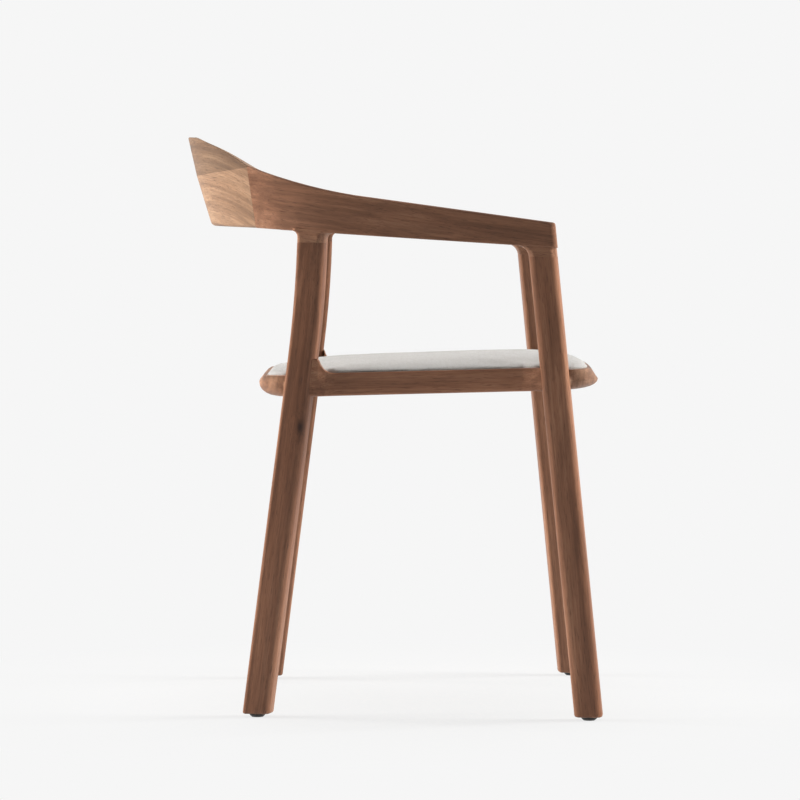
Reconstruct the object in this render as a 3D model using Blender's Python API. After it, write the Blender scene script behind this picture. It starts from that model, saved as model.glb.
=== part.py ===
"""A walnut dining armchair with an upholstered seat, built from its separate pieces.

Metres, +Z up. The sitter faces -Y, the sitter's left is +X, and the floor is z = 0.
"""

import math
from typing import NamedTuple

import bmesh
import bpy
from mathutils import Vector

# Fits
FIT = 0.0003              # gap left between two pieces that touch
PAD_GAP = 0.0006          # room round the upholstered seat
LEG_GAP = 0.0015          # room between the upholstery and a leg
FOAM_ROOM = 0.0013        # room between the foam and its cover

# Legs
LEG_THICK = 0.029         # side to side
LEG_DEPTH = 0.0355        # front to back
FOOT_ROUND = 0.0025       # rounding of a foot's lower edge
FOOT_CURVE = ((0.0, 1.0), (0.3, 0.3), (1.0, 0.0))    # its rise and inset, as shares of that
FRONT_LEG_ROUNDS = (0.005, 0.009, 0.008, 0.005)      # inner front, outer front, outer rear, inner rear
REAR_LEG_ROUNDS = (0.005, 0.010, 0.005, 0.005)
FRONT_FOOT_X = 0.274      # middle of a front foot from the centre plane
FRONT_FOOT_Y = -0.248
FRONT_SPLAY = 0.0547      # closing in per metre of height
FRONT_RAKE = 0.0985       # leaning back per metre of height
REAR_FOOT_X = 0.233
REAR_FOOT_Y = 0.175
REAR_SPLAY = 0.0447
REAR_RAKE = -0.1277
REAR_BEND_Z = 0.46        # the rear leg is straight up to here, then turns upright
REAR_BEND_RADIUS = 1.52
REAR_BEND_STEPS = 5

# Glides
GLIDE_PROUD = 0.0045      # how far a glide stands below the wood
GLIDE_RADIUS = 0.010
GLIDE_BASE_RADIUS = 0.0072
GLIDE_TAPER = 0.6         # share of its height over which it widens
GLIDE_SIDES = 20
NAIL_RADIUS = 0.0012
NAIL_HEAD_RADIUS = 0.0028
NAIL_HEAD = 0.0012        # thickness of the nail's head
NAIL_RECESS = 0.0008      # how far the head sits above the floor
NAIL_LENGTH = 0.018       # in the wood

# Arms
ARM_WIDTH = 0.030
ARM_UNDER_Z = 0.6134      # underside at y = 0
ARM_UNDER_SLOPE = 0.065
ARM_TOP_Z = 0.660         # top at y = 0
ARM_TOP_SLOPE = 0.137
ARM_SWEEP_Y = 0.035       # the top starts to sweep up here
ARM_SWEEP_RADIUS = 0.532
ARM_BEND_Y = -0.026       # the outer face starts to turn in here
ARM_BEND_RUN = 0.2286     # and would close in by 45 degrees over this length
ARM_NOSE_OUTER = 0.009    # corner radii of the front end, in plan
ARM_NOSE_INNER = 0.005
ARM_NOSE_TOP = 0.0025
ARM_NOSE_STEPS = 4
ARM_STEPS = 18
ARM_TURN_STEPS = 6
ARM_ROUNDS = (0.0025, 0.0015, 0.003, 0.0045)    # inner lower, outer lower, outer upper, inner upper
LEG_TURN_MOST = 0.22      # a leg turns with its arm up to this far
STUB_SINK = 0.003         # how far a stub runs up into the arm
STUB_STEPS = 5
FRONT_STUB = 0.0129       # how far the arm's stub reaches down to the front leg
REAR_STUB = 0.0134
FRONT_STUB_FILLET = 0.0125
REAR_STUB_FRONT_FILLET = 0.009
REAR_STUB_REAR_FILLET = 0.006

# Backrest
CREASE_Y = 0.1837         # middle of the crease between arm and backrest
CREASE_LEAN = 0.15        # how far the crease leans back per metre of height
BACK_LOW_Y = 0.2415       # outer lower edge on the centre plane
BACK_LOW_Z = 0.6281
BACK_HEIGHT = 0.1169      # on the centre plane
BACK_FOLD_Y = 0.2613      # fold between the lower and the upper facet
BACK_FOLD_RISE = 0.0655   # above the lower edge
BACK_TOP_Y = 0.2731
TOP_POWER = 3             # how full the top runs
BACK_LOW_THICK = 0.022
BACK_TOP_THICK = 0.0144
FOLD_BELOW_TOP = 0.0030   # the upper facet runs out this far below the arm's top
FOLD_POWER = 2.2          # how full the fold runs between the centre plane and the crease
INNER_TURN_Y = 0.145      # the inner face leaves the arm here
INNER_TURN_X = 0.120      # and joins the hollow of the backrest here
INNER_TURN_PULL = 0.8     # how closely it hugs the corner
BACK_STEPS = 24
TOP_LINE_TRIES = 6
BACK_ROUNDS = (0.004, 0.005, 0, 0.002, 0.004)  # inner lower, outer lower, fold, outer upper, inner upper

# Seat frame, whose heights are measured up from its sloping underside
SEAT_Z = 0.4127           # underside at y = 0
SEAT_SLOPE = 0.0288       # the seat drops towards the back
RAIL_HEIGHT = 0.029
REBATE_HEIGHT = 0.021     # the panel rests here
RAIL_INSET = 0.013        # side rail behind the legs' outer faces
RAIL_END_INSET = 0.004
RAIL_FLARE = 0.038        # length of the flare at each end
FLARE_PAST = 0.008        # how far it runs on past the near side of the leg
RAIL_INSIDE = 0.006       # side rail showing inside the legs
RAIL_UNDER_ROUND = 0.003  # outer edges of a side rail
RAIL_OVER_ROUND = 0.0015
LIP_THICK = 0.005
HORN_RADIUS = 0.019       # sweep of the side rail up the rear leg
NOSE_FILLET = 0.0065      # where the front and rear rails run into the legs
NOSE_SIDE = -0.0015       # side of the nose from the middle of the leg
NOSE_CORNER = 0.045       # width of the rounded corner
NOSE_BULGE = 0.0025       # swell of the edge between the corners
RAIL_PAST_LEG = 0.005     # inner edge of front and rear rails past the middle of the leg
FRONT_NOSE_Y = -0.264
FRONT_NOSE_HEIGHT = 0.0123
FRONT_NOSE_RUN = 0.035    # length of the rounded underside
FRONT_NOSE_TOP_RUN = 0.0085
FRONT_NOSE_TURN = (0.0034, 0.0171)    # run and height of the turn between the tip and the top
REAR_NOSE_Y = 0.1765
REAR_NOSE_HEIGHT = 0.0190
REAR_NOSE_RUN = 0.032
REAR_NOSE_TOP_RUN = 0.006
NOSE_POWER = 2.2          # fullness of the rounded underside
NOSE_SQUEEZE = 0.8        # most of a rail's width that the rounding may take
NOSE_STEPS = 6
NOSE_CORNER_STEPS = 7
NOSE_FILLET_STEPS = 4

# Upholstered seat
PANEL_THICK = 0.008
COVER_THICK = 0.0014
PAD_HEIGHT = 0.0464       # crown above the underside of the frame
PAD_CORNER = 0.046
PAD_CORNER_STEPS = 5
PAD_EDGE_STEPS = 4
PAD_NOTCH = 0.020         # length over which the pad widens beside a leg
PAD_NOTCH_STEPS = 5
SIDE_SHOULDER = 0.017     # width of the rounded edge at the sides
END_SHOULDER = 0.038      # and at the front and rear
SHOULDER_POWER = 1.7
SHOULDER_RISE = 0.93      # share of the crown's height reached at the shoulder
PAD_RINGS = 5
CROWN_SHARES = (0.45, 0.95)
PAD_DRAW_IN = 0.0012      # how far the cover's lower edge is drawn in

# Tenons, blocks and screws
TENON_THICK = 0.008
TENON_HEIGHT = 0.012
TENON_DEPTH = 0.013       # in each piece
TENON_ROUND = 0.45        # corner rounding, as a share of the smaller side
TENON_LIFT = 0.010        # middle of a rail tenon above the underside
END_TENON_SHIFT = 0.0085  # front and rear rail tenons from the middle of the leg
SIDE_TENON_SHIFT = -0.006
STUB_TENON_WIDTH = 0.020
STUB_TENON_THICK = 0.009
STUB_TENON_DEPTH = 0.019
BACK_TENON_HEIGHT = 0.020
BACK_TENON_DEPTH = 0.013
BACK_TENON_INSET = 0.011  # from the crease
BACK_TENON_SPACING = 0.032
BLOCK_LEG = 0.045
BLOCK_TIP = 0.006
BLOCK_BASE = 0.002
SCREW_RADIUS = 0.002
SCREW_HEAD_RADIUS = 0.004
SCREW_HEAD = 0.0025
SCREW_RECESS = 0.003
POINT_SHARE = 0.25        # radius of a screw's or nail's point, as a share of its shank
BLOCK_SCREW_AT = 0.031
BLOCK_SCREW_LIFT = 0.0095
BLOCK_SCREW_BITE = 0.013  # thread in the rail
SEAT_SCREW_AT = 0.013
SEAT_SCREW_BITE = 0.006   # thread in the panel

CORNER_STEPS = 3
SIDES = {"left": 1, "right": -1}

WALNUT = ((0.20, 0.105, 0.062), 0.5, 0.0)
BEECH = ((0.55, 0.36, 0.20), 0.6, 0.0)
PLYWOOD = ((0.60, 0.45, 0.28), 0.65, 0.0)
FABRIC = ((0.62, 0.60, 0.56), 0.95, 0.0)
FOAM = ((0.80, 0.76, 0.60), 0.95, 0.0)
STEEL = ((0.55, 0.55, 0.56), 0.35, 1.0)
NYLON = ((0.045, 0.043, 0.040), 0.5, 0.0)


FRONT_JOINT_Z = ARM_UNDER_Z + ARM_UNDER_SLOPE * (FRONT_FOOT_Y + FRONT_RAKE * ARM_UNDER_Z) - FRONT_STUB
REAR_JOINT_Z = ARM_UNDER_Z + ARM_UNDER_SLOPE * (REAR_FOOT_Y + REAR_RAKE * ARM_UNDER_Z) - REAR_STUB
BACK_FOLD_Z = BACK_LOW_Z + BACK_FOLD_RISE
BACK_TOP_Z = BACK_LOW_Z + BACK_HEIGHT


class Leg(NamedTuple):
    foot_x: float
    foot_y: float
    splay: float
    rake: float
    curve: float
    joint_z: float
    rounds: tuple


FRONT_LEG = Leg(FRONT_FOOT_X, FRONT_FOOT_Y, FRONT_SPLAY, FRONT_RAKE, 0.0, FRONT_JOINT_Z, FRONT_LEG_ROUNDS)
REAR_LEG = Leg(REAR_FOOT_X, REAR_FOOT_Y, REAR_SPLAY, REAR_RAKE, 1.0 / REAR_BEND_RADIUS, REAR_JOINT_Z,
               REAR_LEG_ROUNDS)
LEGS = {"front": FRONT_LEG, "rear": REAR_LEG}


# Solids

def paint(obj, look):
    """Gives an object its own finish."""
    colour, roughness, metallic = look
    material = bpy.data.materials.new(obj.name + "_finish")
    material.use_nodes = True
    shader = material.node_tree.nodes["Principled BSDF"]
    shader.inputs["Base Color"].default_value = (*colour, 1.0)
    shader.inputs["Roughness"].default_value = roughness
    shader.inputs["Metallic"].default_value = metallic
    material.diffuse_color = (*colour, 1.0)
    obj.data.materials.append(material)


def loft(name, rings, look, side=1):
    """A closed solid through rings of equally many points, capped at both ends."""
    mesh = bpy.data.meshes.new(name)
    work = bmesh.new()
    rows = [[work.verts.new((p.x * side, p.y - MIDDLE_Y, p.z)) for p in ring] for ring in rings]
    for low, high in zip(rows, rows[1:]):
        for i in range(len(low)):
            work.faces.new((low[i - 1], low[i], high[i], high[i - 1]))
    work.faces.new(rows[0])
    work.faces.new(rows[-1])
    bmesh.ops.recalc_face_normals(work, faces=work.faces)
    work.to_mesh(mesh)
    work.free()
    mesh.shade_smooth()
    mesh.set_sharp_from_angle(angle=math.radians(30))
    obj = bpy.data.objects.new(name, mesh)
    bpy.context.collection.objects.link(obj)
    if look:
        paint(obj, look)
    return obj


def cutter(name, rings, side=1):
    """A solid that only shapes other pieces."""
    obj = loft(name, rings, None, side)
    obj.hide_render = True
    obj.display_type = "WIRE"
    return obj


def shape(obj, tool, operation="DIFFERENCE"):
    modifier = obj.modifiers.new(tool.name, "BOOLEAN")
    modifier.operation = operation
    modifier.object = tool
    modifier.solver = "EXACT"


def rounded(corners, setbacks, steps=CORNER_STEPS):
    """A closed outline whose corners are swept round; a setback of 0 keeps one sharp."""
    outline = []
    for i, corner in enumerate(corners):
        if not setbacks[i]:
            outline.append(corner)
            continue
        start = (corners[i - 1] - corner).normalized() * setbacks[i]
        end = (corners[(i + 1) % len(corners)] - corner).normalized() * setbacks[i]
        for k in range(steps + 1):
            angle = math.pi / 2 * k / steps
            outline.append(corner + start * (1 - math.sin(angle)) + end * (1 - math.cos(angle)))
    return outline


def bar_rings(middle, along, across, up, reach_back, reach_on, width, height, round_by):
    """Two rounded rectangles facing each other along a direction."""
    sizes = [(-1, -1), (1, -1), (1, 1), (-1, 1)]
    section = [across * (width / 2 * a) + up * (height / 2 * b) for a, b in sizes]
    outline = rounded(section, [round_by] * 4)
    ends = (middle - along * reach_back, middle + along * reach_on)
    return [[end + p for p in outline] for end in ends]


def turned_rings(base, axis, profile, sides=10):
    """Circles along an axis, from (distance, radius) pairs."""
    across = axis.orthogonal().normalized()
    up = axis.cross(across)
    turns = [2 * math.pi * i / sides for i in range(sides)]
    return [[base + axis * at + (across * math.cos(a) + up * math.sin(a)) * radius for a in turns]
            for at, radius in profile]


def smooth(t):
    t = min(max(t, 0.0), 1.0)
    return t * t * (3 - 2 * t)


def blend(a, b, t):
    return a + (b - a) * t


# Legs

def leg_middle(leg, z):
    """Centre of a left leg at a height, with the curve of a rear leg above its bend."""
    above = max(0.0, z - REAR_BEND_Z)
    return Vector((leg.foot_x - leg.splay * z, leg.foot_y + leg.rake * z + leg.curve * above ** 2 / 2, z))


def arm_turn(y):
    """How fast the arm's outer face closes in at y."""
    return ARM_CLOSE + (max(0.0, y - ARM_BEND_Y) / ARM_BEND_RUN) ** 3


def leg_axes(leg, follow=0.0):
    """Directions across a left leg, outwards and backwards; follow is 1 where it turns fully with the arm."""
    arm = arm_turn(leg_middle(leg, leg.joint_z).y)
    turn = math.atan(blend(min(arm, LEG_TURN_MOST), arm, follow))
    return Vector((math.cos(turn), math.sin(turn), 0)), Vector((-math.sin(turn), math.cos(turn), 0))


def leg_ring(leg, z, grow=0.0, front=0.0, rear=0.0, follow=0.0):
    """Section of a left leg, grown all round or towards the front or rear only."""
    out, back = leg_axes(leg, follow)
    middle = leg_middle(leg, z)
    half = LEG_THICK / 2 + grow
    ahead = -(LEG_DEPTH / 2 + grow + front)
    behind = LEG_DEPTH / 2 + grow + rear
    corners = [middle + out * a + back * b
               for a, b in ((-half, ahead), (half, ahead), (half, behind), (-half, behind))]
    return rounded(corners, [r + grow for r in leg.rounds])


def leg_reach(leg):
    """Half the room a leg takes side to side."""
    out, back = leg_axes(leg)
    return LEG_THICK / 2 * out.x + LEG_DEPTH / 2 * abs(back.x)


def leg_heights(leg, top):
    bends = REAR_BEND_STEPS if leg.curve else 0
    above = [blend(REAR_BEND_Z, top, i / bends) for i in range(bends)]
    return above + [top]


def make_leg(kind, leg, name, side):
    rings = [leg_ring(leg, GLIDE_PROUD + FOOT_ROUND * rise, -FOOT_ROUND * inset) for rise, inset in FOOT_CURVE]
    rings += [leg_ring(leg, z) for z in leg_heights(leg, leg.joint_z)]
    return loft(f"{kind}_leg_{name}", rings, WALNUT, side)


def leg_cutter(kind, leg, name, side):
    """A leg with its fit all round, which trims the rails that meet it."""
    low, high = SEAT_Z - RAIL_HEIGHT, REAR_BEND_Z + RAIL_HEIGHT
    rings = [leg_ring(leg, z, FIT) for z in (low, REAR_BEND_Z, high)]
    return cutter(f"cut_{kind}_leg_{name}", rings, side)


def make_glide(kind, leg, name, side, leg_object):
    """A nylon foot, the nail that holds it, and the nail's hole in the leg."""
    floor = leg_middle(leg, 0.0)
    top = GLIDE_PROUD - FIT
    up = Vector((0, 0, 1))
    foot = ((0.0, GLIDE_BASE_RADIUS), (top * GLIDE_TAPER, GLIDE_RADIUS), (top, GLIDE_RADIUS))
    glide = loft(f"glide_{kind}_{name}", turned_rings(floor, up, foot, GLIDE_SIDES), NYLON, side)
    neck = NAIL_RECESS + NAIL_HEAD
    tip = GLIDE_PROUD + NAIL_LENGTH
    nail = ((NAIL_RECESS, NAIL_HEAD_RADIUS), (neck, NAIL_HEAD_RADIUS), (neck + FIT, NAIL_RADIUS),
            (tip - 2 * NAIL_RADIUS, NAIL_RADIUS), (tip, NAIL_RADIUS * POINT_SHARE))
    loft(f"glide_nail_{kind}_{name}", turned_rings(floor, up, nail), STEEL, side)
    hole = ((-NAIL_HEAD, NAIL_HEAD_RADIUS + FIT), (neck + FIT, NAIL_HEAD_RADIUS + FIT),
            (neck + 2 * FIT, NAIL_RADIUS + FIT), (tip + FIT, NAIL_RADIUS + FIT))
    tool = cutter(f"cut_nail_{kind}_{name}", turned_rings(floor, up, hole), side)
    shape(glide, tool)
    shape(leg_object, tool)


# Arms and backrest

def outer_joint(leg):
    """Outer face of a leg where it meets its arm."""
    return leg_middle(leg, leg.joint_z).x + LEG_THICK / 2


FRONT_JOINT_Y = leg_middle(FRONT_LEG, FRONT_JOINT_Z).y
REAR_JOINT_Y = leg_middle(REAR_LEG, REAR_JOINT_Z).y


def arm_bend(y):
    """How far the outer face has turned in at y."""
    return ARM_BEND_RUN / 4 * (max(0.0, y - ARM_BEND_Y) / ARM_BEND_RUN) ** 4


ARM_BEND_DROP = arm_bend(REAR_JOINT_Y)
ARM_CLOSE = (outer_joint(FRONT_LEG) - outer_joint(REAR_LEG) - ARM_BEND_DROP) / (REAR_JOINT_Y - FRONT_JOINT_Y)


def arm_outer(y):
    return outer_joint(FRONT_LEG) - ARM_CLOSE * (y - FRONT_JOINT_Y) - arm_bend(y)


def arm_under(y):
    return ARM_UNDER_Z + ARM_UNDER_SLOPE * y


def arm_top(y):
    return ARM_TOP_Z + ARM_TOP_SLOPE * y + max(0.0, y - ARM_SWEEP_Y) ** 2 / (2 * ARM_SWEEP_RADIUS)


def arm_lean(y):
    """Lean of an arm's section: with the leg at the front end, with the crease at the back."""
    return FRONT_RAKE * smooth(y / FRONT_JOINT_Y) + CREASE_LEAN * smooth(y / CREASE_Y)


def arm_point(y, x, z, share=1.0):
    """A point of the section at y, moved along with a share of the section's lean."""
    middle = (arm_under(y) + arm_top(y)) / 2
    return Vector((x, y + arm_lean(y) * share * (z - middle), z))


CREASE_X = arm_outer(CREASE_Y)
CREASE_LOW = arm_point(CREASE_Y, CREASE_X, arm_under(CREASE_Y))
CREASE_TOP = arm_point(CREASE_Y, CREASE_X, arm_top(CREASE_Y))


def top_height(y):
    """Height of the top line seen from the side: along the arm, then straight up to the backrest's top."""
    if y > CREASE_TOP.y:
        rise = (y - CREASE_TOP.y) / (BACK_TOP_Y - BACK_TOP_THICK - CREASE_TOP.y)
        return blend(CREASE_TOP.z, BACK_TOP_Z, min(1.0, rise))
    station = y
    for _ in range(TOP_LINE_TRIES):
        station = y - arm_lean(station) * (arm_top(station) - arm_under(station)) / 2
    return arm_top(station)


def back_curve(t, middle_y, middle_z, end, y_power=2, z_power=2):
    """A line across the backrest: t is 0 on the centre plane and 1 at the crease."""
    return Vector((CREASE_X * t, blend(middle_y, end.y, t ** y_power), blend(middle_z, end.z, t ** z_power)))


def inner_curve(q, level):
    """The inner face in plan, from the arm at q = 0 to the centre plane at q = 1."""
    middle_y = (BACK_LOW_Y - BACK_LOW_THICK, BACK_TOP_Y - BACK_TOP_THICK)[level]
    sag = (BACK_LOW_Y - CREASE_LOW.y, BACK_TOP_Y - CREASE_TOP.y)[level] / CREASE_X ** 2
    start = Vector((arm_outer(INNER_TURN_Y) - ARM_WIDTH, INNER_TURN_Y))
    end = Vector((INNER_TURN_X, middle_y - sag * INNER_TURN_X ** 2))
    if q >= 0.5:
        x = INNER_TURN_X * (2 - 2 * q)
        return Vector((x, middle_y - sag * x ** 2))
    # The corner lies where the tangents from the arm and from the hollow cross.
    slope = arm_turn(INNER_TURN_Y)
    fall = 2 * sag * INNER_TURN_X
    run = (start.x - end.x - slope * (end.y - start.y)) / (1 - slope * fall)
    corner = end + Vector((run, -fall * run))
    t = 2 * q
    near = blend(start, corner, INNER_TURN_PULL)
    far = blend(end, corner, INNER_TURN_PULL)
    return (start * (1 - t) ** 3 + near * 3 * t * (1 - t) ** 2 + far * 3 * t ** 2 * (1 - t) + end * t ** 3)


LOW, TOP = 0, 1
JOINT_LOW = 0.15          # the joint between arm and backrest runs from the crease to here on the inner face
JOINT_INNER = inner_curve(JOINT_LOW, LOW).to_3d() + Vector((0, 0, CREASE_LOW.z))
JOINT_NORMAL = (CREASE_TOP - CREASE_LOW).cross(CREASE_LOW - JOINT_INNER).normalized()


def joint_top():
    """Where the upper inner edge crosses the plane of the joint, by halving."""
    low, high = 0.0, 0.5
    for _ in range(40):
        middle = (low + high) / 2
        plan = inner_curve(middle, TOP)
        point = Vector((plan.x, plan.y, top_height(plan.y)))
        if (point - CREASE_LOW).dot(JOINT_NORMAL) < 0:
            low = middle
        else:
            high = middle
    return low


JOINT_TOP = joint_top()


def inner_plan(share, level):
    """Inner corner: share 0 to 1 runs along the arm's end, 1 to 2 along the backrest."""
    joint = (JOINT_LOW, JOINT_TOP)[level]
    return inner_curve(joint * share if share <= 1 else blend(joint, 1.0, share - 1), level)


def inner_low(share, z):
    plan = inner_plan(share, LOW)
    return Vector((plan.x, plan.y, z))


def inner_top(share):
    plan = inner_plan(share, TOP)
    return Vector((plan.x, plan.y, top_height(plan.y)))


def nose_inset(distance, radius):
    """How far a rounded end is drawn in at a distance from its tip."""
    short = max(0.0, radius - distance)
    return radius - math.sqrt(radius ** 2 - short ** 2)


def arm_front_y():
    """Front end of the arm, in line with the front of the leg."""
    out, back = leg_axes(FRONT_LEG)
    return FRONT_JOINT_Y - LEG_DEPTH / 2 * back.y + FRONT_RAKE * (arm_under(FRONT_JOINT_Y) - FRONT_JOINT_Z)


def arm_ring(y, distance):
    """Section of the left arm in front of the turn."""
    outer = arm_outer(y) - nose_inset(distance, ARM_NOSE_OUTER)
    inner = arm_outer(y) - ARM_WIDTH + nose_inset(distance, ARM_NOSE_INNER)
    top = arm_top(y) - nose_inset(distance, ARM_NOSE_TOP)
    low = arm_under(y)
    upright = smooth(y / INNER_TURN_Y)    # the inner face straightens up on its way to the turn
    inner_high = blend(top, top_height(y), upright)
    return arm_section(arm_point(y, inner, low, 1 - upright), arm_point(y, outer, low),
                       arm_point(y, outer, top), arm_point(y, inner, inner_high, 1 - upright))


def arm_section(low_inside, low_outside, top_outside, top_inside):
    return rounded([low_inside, low_outside, top_outside, top_inside], ARM_ROUNDS)


def arm_rings():
    front = arm_front_y()
    rings = []
    for step in range(ARM_NOSE_STEPS + 1):
        distance = ARM_NOSE_OUTER * (1 - math.cos(math.pi / 2 * step / ARM_NOSE_STEPS))
        rings.append(arm_ring(front + distance, distance))
    start = front + ARM_NOSE_OUTER
    for step in range(1, ARM_STEPS + 1):
        rings.append(arm_ring(blend(start, INNER_TURN_Y, step / ARM_STEPS), ARM_NOSE_OUTER))
    for step in range(1, ARM_TURN_STEPS + 1):
        share = step / ARM_TURN_STEPS
        y = blend(INNER_TURN_Y, CREASE_Y, share)
        low, top = arm_under(y), arm_top(y)
        rings.append(arm_section(inner_low(share, low), arm_point(y, arm_outer(y), low),
                                 arm_point(y, arm_outer(y), top), inner_top(share)))
    rings[-1] = [p - JOINT_NORMAL * (FIT / 2) for p in rings[-1]]
    return rings


def stub_rings(leg, front_fillet, rear_fillet):
    """The short end of a leg that is worked on the arm, with its fillets."""
    middle = leg_middle(leg, leg.joint_z)
    under = arm_under(middle.y)
    deepest = max(front_fillet, rear_fillet)
    bottom = leg.joint_z + FIT
    rings = [leg_ring(leg, bottom, -FIT / 2)]
    for step in range(STUB_STEPS + 1):
        height = deepest * math.sin(math.pi / 2 * step / STUB_STEPS)
        z = max(under - deepest + height, bottom + FIT * (step + 1))
        swell = [fillet - math.sqrt(max(0.0, fillet ** 2 - max(0.0, height - deepest + fillet) ** 2))
                 for fillet in (front_fillet, rear_fillet)]
        ring = leg_ring(leg, z, -FIT / 2, *swell, follow=step / STUB_STEPS)
        tilt = ARM_UNDER_SLOPE * step / STUB_STEPS
        rings.append([Vector((p.x, p.y, p.z + tilt * (p.y - middle.y))) for p in ring])
    rings.append([p + Vector((0, 0, STUB_SINK)) for p in rings[-1]])
    return rings


def make_arm(name, side):
    arm = loft(f"arm_{name}", arm_rings(), WALNUT, side)
    stubs = {"front": (FRONT_LEG, 0.0, FRONT_STUB_FILLET),
             "rear": (REAR_LEG, REAR_STUB_FRONT_FILLET, REAR_STUB_REAR_FILLET)}
    for kind, (leg, ahead, behind) in stubs.items():
        shape(arm, cutter(f"stub_{kind}_{name}", stub_rings(leg, ahead, behind), side), "UNION")
    return arm


def back_ring(t):
    """Section of the backrest at t, which is 1 at the left crease and -1 at the right one."""
    share = 2 - abs(t)
    low = back_curve(abs(t), BACK_LOW_Y, BACK_LOW_Z, CREASE_LOW)
    top = back_curve(abs(t), BACK_TOP_Y, BACK_TOP_Z, CREASE_TOP, z_power=TOP_POWER)
    fold_end = CREASE_TOP + (CREASE_LOW - CREASE_TOP).normalized() * FOLD_BELOW_TOP
    fold = back_curve(abs(t), BACK_FOLD_Y, BACK_FOLD_Z, fold_end, FOLD_POWER, FOLD_POWER)
    corners = [inner_low(share, low.z), low, fold, top, inner_top(share)]
    ring = rounded(corners, BACK_ROUNDS)
    gap = JOINT_NORMAL * (FIT / 2 if abs(t) == 1 else 0)
    return [Vector(((p + gap).x * (1 if t >= 0 else -1), (p + gap).y, (p + gap).z)) for p in ring]


FRONTMOST_Y = min(p.y for p in leg_ring(FRONT_LEG, GLIDE_PROUD + FOOT_ROUND))
MIDDLE_Y = (FRONTMOST_Y + max(p.y for p in back_ring(0))) / 2


def make_backrest():
    return loft("backrest", [back_ring(1 - 2 * i / BACK_STEPS) for i in range(BACK_STEPS + 1)], WALNUT)


# Seat frame

def seat_point(x, y, height):
    """A point of the seat frame, a height above its sloping underside."""
    return Vector((x, y, SEAT_Z + height - SEAT_SLOPE * y))


def leg_at_seat(leg):
    return leg_middle(leg, SEAT_Z + RAIL_HEIGHT / 2 - SEAT_SLOPE * leg_middle(leg, SEAT_Z).y)


FRONT_AT_SEAT = leg_at_seat(FRONT_LEG)
REAR_AT_SEAT = leg_at_seat(REAR_LEG)
FRONT_RAIL_EDGE = FRONT_AT_SEAT.y + RAIL_PAST_LEG
REAR_RAIL_EDGE = REAR_AT_SEAT.y - RAIL_PAST_LEG


def leg_face(leg, back):
    """How far a leg reaches towards the middle of the seat, at the top of the pad."""
    out, rear = leg_axes(leg)
    return leg_middle(leg, SEAT_Z + PAD_HEIGHT).y + back * (LEG_DEPTH / 2 * rear.y + LEG_THICK / 2 * out.y)


FRONT_FACE_Y = leg_face(FRONT_LEG, 1)
REAR_FACE_Y = leg_face(REAR_LEG, -1)


def leg_line(y):
    """Line through the middles of a front and a rear leg at seat height."""
    return blend(FRONT_AT_SEAT.x, REAR_AT_SEAT.x, (y - FRONT_AT_SEAT.y) / (REAR_AT_SEAT.y - FRONT_AT_SEAT.y))


def rail_outer(y):
    end = min(y - FRONT_FACE_Y, REAR_FACE_Y - y) + FLARE_PAST
    flare = max(0.0, 1 - max(0.0, end) / RAIL_FLARE) ** 2
    return leg_line(y) + LEG_THICK / 2 - blend(RAIL_INSET, RAIL_END_INSET, flare)


def pad_limit(leg):
    """Half the width that the legs leave for the upholstery."""
    return leg_middle(leg, SEAT_Z + PAD_HEIGHT).x - leg_reach(leg) - LEG_GAP


def pad_half_width(y):
    """Half the width of the upholstered seat: between the legs it spreads to the side rails' lips."""
    beside = blend(pad_limit(FRONT_LEG), pad_limit(REAR_LEG),
                   (y - FRONT_AT_SEAT.y) / (REAR_AT_SEAT.y - FRONT_AT_SEAT.y))
    spread = leg_line(y) + LEG_THICK / 2 - RAIL_INSET - LIP_THICK - PAD_GAP
    clear = min(y - FRONT_FACE_Y, REAR_FACE_Y - y) - LEG_GAP
    return blend(beside, spread, smooth(clear / PAD_NOTCH))


def horn_height(y):
    short = min(max(0.0, HORN_RADIUS - (REAR_FACE_Y - y)), HORN_RADIUS)
    return HORN_RADIUS - math.sqrt(HORN_RADIUS ** 2 - short ** 2)


def notch_stations():
    """Places along the side where the seat and the rail's lip widen beside the legs, and between."""
    steps = [LEG_GAP + PAD_NOTCH * i / PAD_NOTCH_STEPS for i in range(PAD_NOTCH_STEPS + 1)]
    front, rear = FRONT_FACE_Y + steps[-1], REAR_FACE_Y - steps[-1]
    between = [blend(front, rear, i / PAD_EDGE_STEPS) for i in range(1, PAD_EDGE_STEPS)]
    return [FRONT_FACE_Y + s for s in steps] + between + [REAR_FACE_Y - s for s in reversed(steps)]


def side_rail_ring(y):
    """Section of a side rail: a bar with a lip that holds the seat in place."""
    inner = leg_line(y) - LEG_THICK / 2 - RAIL_INSIDE
    outer = rail_outer(y)
    lip = pad_half_width(y) + PAD_GAP
    if y < FRONT_FACE_Y or y > REAR_FACE_Y:
        lip = leg_line(y) - LIP_THICK
    top = RAIL_HEIGHT + horn_height(y)
    section = ((inner, 0), (outer, 0), (outer, top), (lip, top), (lip, REBATE_HEIGHT), (inner, REBATE_HEIGHT))
    corners = [seat_point(x, y, height) for x, height in section]
    return rounded(corners, [0, RAIL_UNDER_ROUND, RAIL_OVER_ROUND, 0, 0, 0])


def make_side_rail(name, side):
    ends = [FRONT_RAIL_EDGE + FIT, FRONT_FACE_Y - LEG_GAP, FRONT_FACE_Y + FIT,
            REAR_FACE_Y - FIT, REAR_FACE_Y + LEG_GAP, REAR_RAIL_EDGE - FIT]
    flare = [FRONT_FACE_Y + RAIL_FLARE, REAR_FACE_Y - RAIL_FLARE]
    stations = sorted(set(ends + flare + notch_stations()))
    return loft(f"side_rail_{name}", [side_rail_ring(y) for y in stations], WALNUT, side)


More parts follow.
